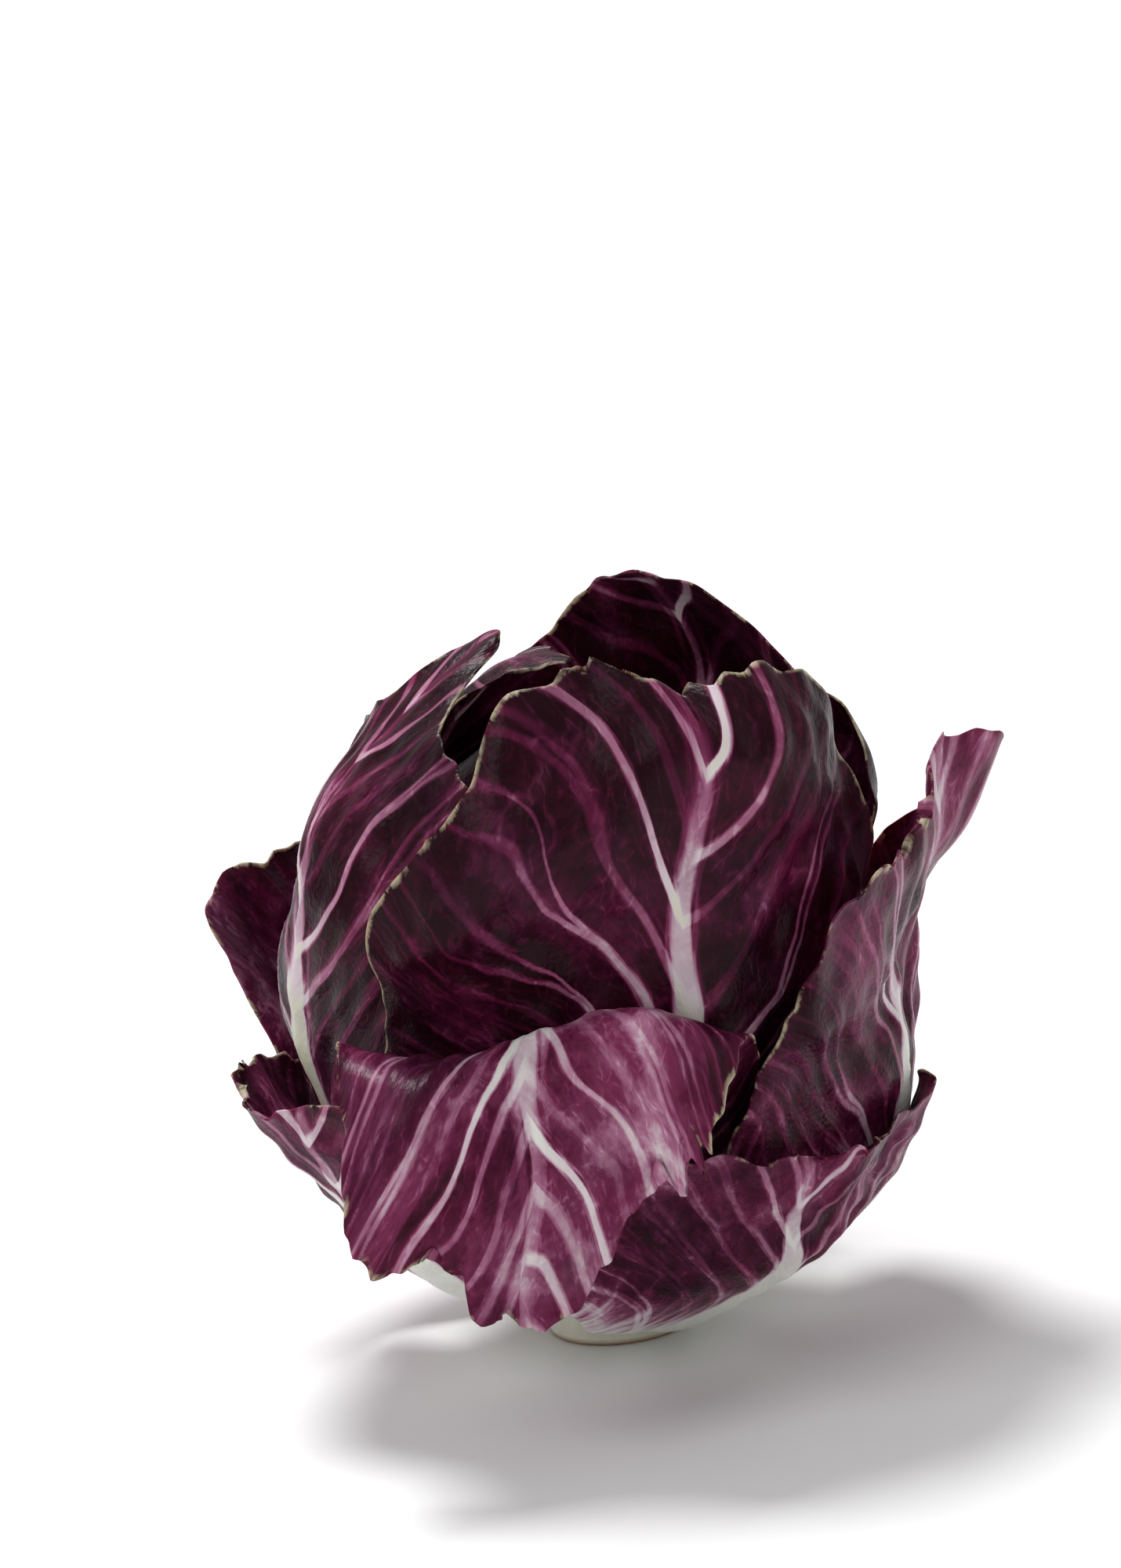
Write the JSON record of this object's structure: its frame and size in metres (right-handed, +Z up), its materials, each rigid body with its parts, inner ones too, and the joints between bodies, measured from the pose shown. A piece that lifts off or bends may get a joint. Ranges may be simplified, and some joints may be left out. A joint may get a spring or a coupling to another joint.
{
  "type": "radicchio head",
  "caption": "Loosely opened radicchio head: purple leaves with white ribs wrapped round a heart on a short cut stem, outer leaves falling open",
  "frame": {"origin": "the middle of the stem's flat cut face, which the head stands on", "axes": "+Z up the stem through the head, -Y towards the side with the folded front leaf, +X to the right of that side"},
  "size_m": [0.1463, 0.164, 0.1342],
  "materials": {
    "outer_leaf": "fresh leaf, deep purple with white ribs, waxy satin",
    "inner_leaf": "fresh leaf, magenta purple with white ribs, waxy satin",
    "loose_leaf": "fresh leaf, purple with wide white ribs and pale torn edges, waxy satin",
    "stem": "cream white stem, cut face browned, moist satin"
  },
  "bodies": {
    "root": {"stem": "stem", "heart": "inner_leaf", "leaf_01": "inner_leaf", "leaf_02": "inner_leaf", "leaf_03": "inner_leaf", "leaf_04": "inner_leaf", "leaf_05": "inner_leaf", "leaf_06": "inner_leaf", "leaf_07": "inner_leaf", "leaf_08": "inner_leaf", "leaf_09": "inner_leaf", "leaf_10": "inner_leaf", "leaf_11": "inner_leaf", "leaf_12": "outer_leaf", "leaf_13": "outer_leaf", "leaf_14": "outer_leaf", "leaf_15": "outer_leaf", "leaf_16": "outer_leaf", "leaf_17": "outer_leaf", "leaf_18": "outer_leaf", "loose_leaf_front": "loose_leaf", "loose_leaf_left": "loose_leaf", "loose_leaf_right": "loose_leaf", "loose_leaf_back": "loose_leaf", "loose_leaf_low": "loose_leaf"}
  },
  "joints": []
}
